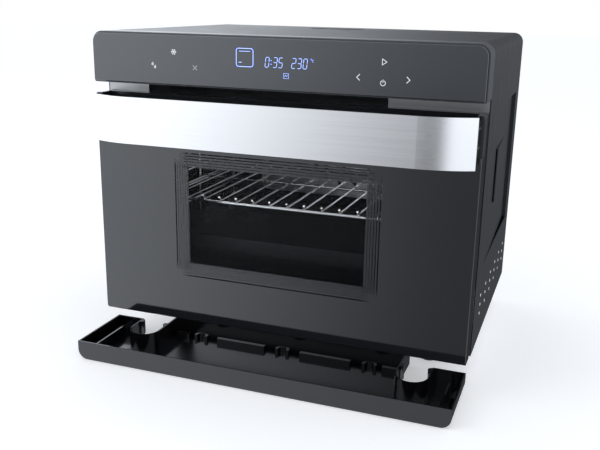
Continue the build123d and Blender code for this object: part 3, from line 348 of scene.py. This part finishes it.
display.path([(13.6, 382.0), (20.0, 382.0), (20.0, 388.0), (13.6, 388.0)], 0.5, closed=True)
display.path([(14.8, 384.0), (16.0, 386.2), (17.2, 384.0), (18.6, 386.2)], 0.5)
halo = Film(0.00004)
for start, end, wide in display.strokes:
    halo.stroke(start, end, wide + 1.3)
spill = Finish("display_spill", (0.07, 0.09, 0.3), 0.2, Alpha=0.3)
spill.vary(Base_Color=spill.tint(spill.speckle(600, 2), (0.05, 0.07, 0.26), (0.09, 0.11, 0.34)))
halo.finish("display_halo", spill.material)
glow = Finish("display_light", (0.3, 0.4, 0.8), 0.4, Emission_Strength=0.8)
glow.vary(Emission_Color=glow.tint(glow.speckle(500, 2), (0.36, 0.5, 1.0), (0.55, 0.68, 1.0)))
display.finish("display_figures", glow.material)

symbols = Film()
for x, z in ((-164.6, 391.6), (-161.2, 388.0)):
    symbols.arc((x, z), 1.1, 20, 340, 0.9, 8)
    symbols.stroke((x - 0.6, z + 1.2), (x + 0.9, z + 2.2), 0.7)


def along_ray(start, angle, length):
    """The point at a length from start, in the direction of an angle."""
    return start[0] + length * cos(angle), start[1] + length * sin(angle)


star = (-134.2, 407.7)
for arm in range(6):
    angle = radians(60 * arm)
    symbols.stroke(star, along_ray(star, angle, 3.3), 0.8)
    fork = along_ray(star, angle, 2.1)
    for branch in (-0.7, 0.7):
        symbols.stroke(fork, along_ray(fork, angle + branch, 1.3), 0.6)
symbols.path([(134.1, 409.9), (134.1, 403.1), (139.4, 406.5)], 0.75, closed=True)
symbols.path([(107.9, 391.4), (104.2, 388.0), (107.9, 384.6)], 0.9)
symbols.path([(163.4, 390.8), (167.0, 387.4), (163.4, 384.0)], 0.9)
power_x, power_z = 135.8, 382.6
symbols.arc((power_x, power_z), 2.9, 120, 420, 0.8, 18)
symbols.stroke((power_x, power_z + 0.6), (power_x, power_z + 3.8), 0.8)
lit_white = Finish("symbol_light", (0.5, 0.52, 0.55), 0.4, Emission_Strength=0.42)
lit_white.vary(Emission_Color=lit_white.tint(lit_white.speckle(700, 2), (0.8, 0.85, 0.9), (1.0, 1.0, 1.0)))
symbols.finish("touch_symbols", lit_white.material)

tool_mark = Film()
for slope in (-1, 1):
    tool_mark.stroke((-107.4, 389.3 - 2.6 * slope), (-102.2, 389.3 + 2.6 * slope), 0.7)
dim_white = Finish("dim_symbol_light", (0.4, 0.42, 0.45), 0.4, Emission_Strength=0.25)
dim_white.vary(Emission_Color=dim_white.tint(dim_white.speckle(700, 2), (0.5, 0.53, 0.58), (0.7, 0.72, 0.75)))
tool_mark.finish("tool_symbol", dim_white.material)


# ---- Brushed steel. The handle, the frame behind the door and the cavity are stainless sheet, ground
# along one direction: long fine scratches in gloss and height, and a slow drift in tone.
def brushed(name, colour, roughness, stretch=(3, 1500, 1500), depth=0.00003, **sockets):
    """Ground sheet steel; the stretch is small along the grinding direction."""
    steel = Finish(name, colour, roughness, Metallic=1.0, **sockets)
    scratch = steel.speckle(1, 2, stretch)
    steel.vary(Roughness=scratch * 0.12 + (roughness - 0.06))
    steel.vary(Base_Color=steel.tint(scratch, shaded(colour, 0.9), shaded(colour, 1.06)))
    return steel.emboss(scratch, depth, 0.5)


brushed("handle_steel", (0.61, 0.605, 0.605), 0.22).dress("handle_strip")
brushed("frame_steel", (0.27, 0.27, 0.27), 0.32).dress("front_frame")
# The cavity's steel is near black with a dulled specular tint: painted shade for the dark inside of the oven,
# darker than the sheet's own colour.
brushed("cavity_steel_painted_shade", (0.014, 0.014, 0.015), 0.3, Specular_Tint=(0.12, 0.12, 0.13)).dress("cavity_liner")
brushed("guard_steel", (0.68, 0.69, 0.71), 0.34).dress("fan_guard")
ground_front_to_rear = (900, 5, 900)
brushed("tray_steel", (0.03, 0.031, 0.033), 0.34, ground_front_to_rear, Specular_Tint=(0.2, 0.2, 0.21)).dress(
    "baking_tray")


# ---- Plated wire and sheet. Rack and rails are drawn wire, welded and bright-chromed, with slight
# waviness from the drawing; hidden steelwork is zinc-plated, and fans and heaters have duller skins.
def plated(name, colour, roughness):
    """Bright plating over drawn or stamped metal."""
    chrome = Finish(name, colour, roughness, Metallic=1.0)
    chrome.vary(Roughness=chrome.speckle(220, 3) * 0.12 + (roughness - 0.05))
    chrome.vary(Base_Color=chrome.tint(chrome.speckle(60, 2), shaded(colour, 0.9), colour))
    return chrome.emboss(chrome.speckle(350, 2), 0.00003)


plated("chrome_wire", (0.86, 0.86, 0.88), 0.14).dress("wire_rack", "shelf_rails", "temperature_probe")
plated("zinc_plate", (0.62, 0.63, 0.64), 0.36).dress(
    "base_plate", "shield_plate", "blower_housing", "hinge_pins",
    "hinge_brackets", "check_arms", "foot_screws", "handle_screws",
)
plated("fan_aluminium", (0.7, 0.7, 0.71), 0.33).dress("convection_fan", "blower_rotor", "steam_generator")
plated("heater_tube", (0.2, 0.19, 0.175), 0.45).dress("grill_heater", "ring_heater")

# ---- Door outer glass. Grey mirror glass, back-printed; the print leaves a dark window and, round it,
# fine clear lines of even pitch that grow thinner towards the window and fade out at its corners.
pane = Finish("door_glass", (0.012, 0.0135, 0.0155), 0.045, Specular_IOR_Level=0.68)
window_half_wide, window_half_tall, window_z = 120, 65, 196
line_pitch, border_wide, corner_fade = 3.55, 19.6, 12
where = pane.axes()
beside = abs(where["X"]) / MM - window_half_wide
above = abs(where["Z"] / MM - window_z) - window_half_tall


def clear_lines(across, along):
    """Clear lines parallel to one side of the window, and a thinner print between them near its edge."""
    phase = across.maths("FRACT", across / line_pitch)
    line = phase < across * 0.012 + 0.22
    border = (across > 0) * (across < border_wide)
    soft_edge = pane.between(0.7 - across / 3) * 0.7
    thin_print = 0.18 - across / 120
    return (line + soft_edge + thin_print) * border * pane.between(1 - along / corner_fade)


window = (beside < 0) * (above < 0)
see_through = pane.between(window + clear_lines(beside, above) + clear_lines(above, beside))
pane.vary(Alpha=1 - see_through * 0.95)
pane.vary(Roughness=pane.speckle(5, 5, (1, 1, 3)) * 0.03 + 0.03)
pane.dress("door_outer_glass")

# ---- Inner glass and lamp glass. The inner pane is clear, a little hazy from heat and steam; the lamp's
# cover is moulded, frosted glass that spreads the bulb's light.
inner_pane = Finish("inner_glass", (0.006, 0.007, 0.007), 0.03, Alpha=0.1, Specular_IOR_Level=0.2)
inner_pane.vary(Roughness=inner_pane.speckle(7, 5) * 0.04 + 0.02)
inner_pane.dress("door_inner_glass")
lens = Finish("lamp_glass", (0.85, 0.85, 0.8), 0.25, Alpha=0.6)
lens.vary(Roughness=lens.speckle(300, 2) * 0.2 + 0.2)
lens.dress("lamp_lens")

# ---- Door frame, cap and small mouldings. The frame is a painted pressing; the cap behind the handle is
# black and glossy, and its cheeks carry the handle.
frame_paint = Finish("door_frame_paint", (0.008, 0.0085, 0.01), 0.55, Specular_IOR_Level=0.12)
frame_paint.vary(Roughness=frame_paint.speckle(40, 3) * 0.14 + 0.48)
frame_paint.emboss(frame_paint.speckle(900, 2), 0.00006).dress("door_frame")
moulded("cap_plastic", (0.011, 0.012, 0.014), 0.2).dress("door_cap")
moulded("black_plastic", (0.012, 0.012, 0.013), 0.42).dress(
    "handle_posts", "wall_stops", "cord_gland", "feet", "tank_well", "water_pump")
moulded("lid_plastic", (0.023, 0.025, 0.029), 0.34).dress("tank_lid")
moulded("white_plastic", (0.7, 0.69, 0.65), 0.4).dress("terminal_block", "door_switch", "switch_plunger")
moulded("white_ceramic", (0.8, 0.79, 0.75), 0.25).dress("cavity_lamp", "thermal_cutout")
moulded("display_body", (0.015, 0.015, 0.02), 0.15).dress("display_module")
moulded("solder_mask", (0.02, 0.13, 0.055), 0.3).dress("touch_board", "power_board")
moulded("ribbon_jacket", (0.45, 0.46, 0.47), 0.45).dress("ribbon_cable")
moulded("motor_paint", (0.24, 0.24, 0.25), 0.45).dress("fan_motor", "blower_motor")
moulded("dark_screws", (0.03, 0.03, 0.032), 0.3).dress("rear_screws")
moulded("pad_rubber", (0.012, 0.012, 0.012), 0.75, 0.0001, 900).dress("foot_pads")
moulded("seal_rubber", (0.05, 0.05, 0.052), 0.6, 0.0001, 1200).dress("door_seal")
moulded("silicone_hose", (0.6, 0.58, 0.52), 0.4).dress("feed_hose", "pressure_hose")
moulded("ceramic_wool", (0.75, 0.73, 0.66), 0.95, 0.002, 160).dress("insulation_blanket")
tank = Finish("tank_plastic", (0.55, 0.66, 0.72), 0.18, Alpha=0.55)
tank.vary(Roughness=tank.speckle(30, 3) * 0.1 + 0.12)
tank.dress("water_tank")

# ---- Condensate tray. One glossy black moulding whose front is finely textured, so it reads dark grey
# beside the mirror-black inside. The texture ends at the front wall's outer skin.
tray = Finish("tray_plastic", (0.016, 0.0165, 0.018), 0.12)
tray_front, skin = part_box("condensate_tray")[0][1], 0.0006
textured = tray.axes()["Y"] < tray_front + skin
tray.vary(
    Roughness=textured * 0.34 + tray.speckle(30, 3) * 0.06 + 0.09,
    Base_Color=tray.tint(textured, (0.004, 0.004, 0.005), (0.023, 0.024, 0.0255)),
)
tray.emboss(tray.speckle(2400, 2) * textured, 0.00005)
tray.dress("condensate_tray")

# ---- Studio. A plain pale floor that runs out of sight. One large soft light on the left, one above and a
# strip on the right, and three small ones in the cavity. The air is white to the camera and greyer to the oven.
ground = bmesh.new()
bmesh.ops.create_grid(ground, x_segments=1, y_segments=1, size=12)
floor_mesh = bpy.data.meshes.new("floor")
ground.to_mesh(floor_mesh)
ground.free()
floor = bpy.data.objects.new("floor", floor_mesh)
bpy.context.scene.collection.objects.link(floor)
paper = Finish("floor_paper", (0.9, 0.9, 0.9), 0.75, Specular_IOR_Level=0.2, Emission_Strength=0.35)
paper.feed(paper.shader, {"Emission Color": (1.0, 1.0, 1.0)})
paper.vary(Base_Color=paper.tint(paper.speckle(3, 3), (0.89, 0.89, 0.895), (0.91, 0.91, 0.91)))
floor_mesh.materials.append(paper.material)
floor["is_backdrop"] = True
floor.visible_glossy = False


def soft_light(name, at, towards, wide, tall, watts):
    """A rectangular soft box at a place, facing another."""
    lamp = bpy.data.lights.new(name, "AREA")
    lamp.shape, lamp.size, lamp.size_y, lamp.energy = "RECTANGLE", wide, tall, watts
    box_light = bpy.data.objects.new(name, lamp)
    box_light.location = at
    box_light.visible_camera = False
    box_light.rotation_euler = (Vector(towards) - Vector(at)).to_track_quat("-Z", "Y").to_euler()
    bpy.context.scene.collection.objects.link(box_light)


oven_middle = (0, 0, 0.2)
soft_light("key_light", (-1.9, -1.6, 1.5), oven_middle, 1.6, 1.8, 11)
soft_light("top_light", (0.0, 0.4, 2.2), oven_middle, 2.2, 1.6, 5)
soft_light("rim_light", (1.9, 0.2, 0.9), (0.2, 0, 0.25), 0.5, 1.4, 1.5)
lamp_low, lamp_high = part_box("lamp_lens")
before_lens = (lamp_low + lamp_high) / 2 - Vector((0.006, 0, 0))
soft_light("oven_lamp", before_lens, (-0.05, 0.155, 0.22), 0.024, 0.024, 1.3)
soft_light("guard_light", (0.18, -0.1, 0.275), (0.08, 0.155, 0.25), 0.05, 0.02, 0.2)
soft_light("door_strip", (0, -0.112, 0.322), (0, -0.1, 0.15), 0.36, 0.008, 0.05)


class Air(Finish):
    """The light round the set, written with the same words as a finish."""

    def __init__(self, name):
        world = bpy.data.worlds.new(name)
        world.use_nodes = True
        bpy.context.scene.world = world
        self.tree = world.node_tree
        self.shader = self.tree.nodes["Background"]

    def rise(self, value, low, high, top):
        """Nothing below low, top above high, and a smooth climb between."""
        return self.node("ShaderNodeMapRange", {"interpolation_type": "SMOOTHSTEP"},
                         {"Value": value, "From Min": low, "From Max": high, "To Min": 0.0, "To Max": top})


air = Air("air")
direction = air.node("ShaderNodeTexCoord", {}, {})["Generated"]
away = air.node("ShaderNodeSeparateXYZ", {}, {0: direction})
left_wall = air.rise(0 - away["X"], 0.1, 0.62, 1.7)
right_wall = air.rise(away["X"], 0.16, 0.45, 1.2)
overhead = air.rise(away["Z"], -0.27, 0.05, 0.5)
behind = air.rise(away["Y"], -0.3, 0.5, 0.75)
mirrored = (0.3 + overhead + right_wall) * (1 - behind) + left_wall
ray = air.node("ShaderNodeLightPath", {}, {})
glossy = ray["Is Glossy Ray"]
diffuse_level = 0.72
brightness = mirrored * glossy + (1 - glossy) * diffuse_level
cool_shift = {"X": 0.93, "Y": 0.98, "Z": 1.05}
cool = air.node("ShaderNodeCombineXYZ", {}, {axis: brightness * part for axis, part in cool_shift.items()})
air.vary(Color=air.tint(ray["Is Camera Ray"], cool, (1.0, 1.0, 1.0)))

sizes = [[list(map(float, corner_point)) for corner_point in pair] for pair in (cad_bounds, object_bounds())]
{"cad": sizes[0], "visual": sizes[1]}
